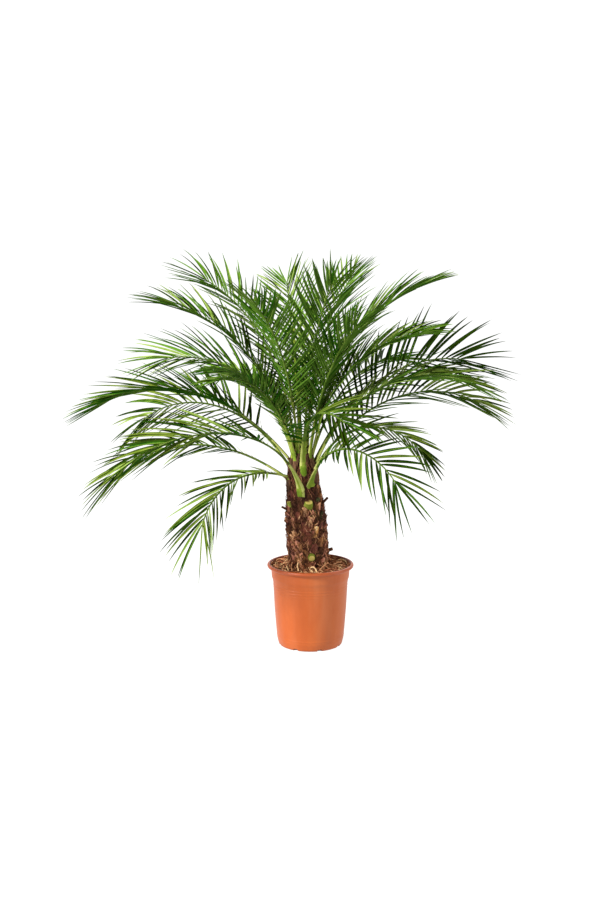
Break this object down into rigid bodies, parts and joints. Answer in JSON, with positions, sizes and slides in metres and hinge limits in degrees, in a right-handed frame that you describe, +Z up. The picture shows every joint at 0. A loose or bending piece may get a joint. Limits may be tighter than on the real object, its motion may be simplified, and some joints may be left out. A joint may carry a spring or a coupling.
{
  "type": "pygmy date palm",
  "caption": "Small feather-leaved palm with a fibrous leaning trunk and arching fronds, standing in a round tapered nursery pot filled with soil.",
  "frame": {"origin": "centre of the pot's flat underside", "axes": "+Z up, -Y towards the plant's front, +X to the viewer's right"},
  "size_m": [1.2439, 1.0515, 1.1001],
  "materials": {
    "pot": "satin",
    "soil": "matt",
    "trunk": "matt",
    "frond": "satin",
    "spear": "satin"
  },
  "bodies": {
    "root": {"frond_01_inner": "frond", "frond_01_outer": "frond", "frond_02_inner": "frond", "frond_02_outer": "frond", "frond_03_inner": "frond", "frond_03_outer": "frond", "frond_04_inner": "frond", "frond_04_outer": "frond", "frond_05_inner": "frond", "frond_05_outer": "frond", "frond_06_inner": "frond", "frond_06_outer": "frond", "frond_07_inner": "frond", "frond_07_outer": "frond", "frond_08": "frond", "frond_09": "frond", "frond_10": "frond", "frond_11": "frond", "frond_12": "frond", "frond_13_inner": "frond", "frond_13_outer": "frond", "frond_14_inner": "frond", "frond_14_outer": "frond", "frond_15_inner": "frond", "frond_15_outer": "frond", "frond_16_inner": "frond", "frond_16_outer": "frond", "frond_17_inner": "frond", "frond_17_outer": "frond", "frond_18_inner": "frond", "frond_18_outer": "frond", "frond_19_inner": "frond", "frond_19_outer": "frond", "frond_20": "frond", "frond_21": "frond", "frond_22_inner": "frond", "frond_22_outer": "frond", "frond_23": "frond", "frond_24": "frond", "frond_25_inner": "frond", "frond_25_outer": "frond", "frond_26": "frond", "pot": "pot", "soil": "soil", "spear": "spear", "trunk": "trunk"}
  },
  "joints": []
}
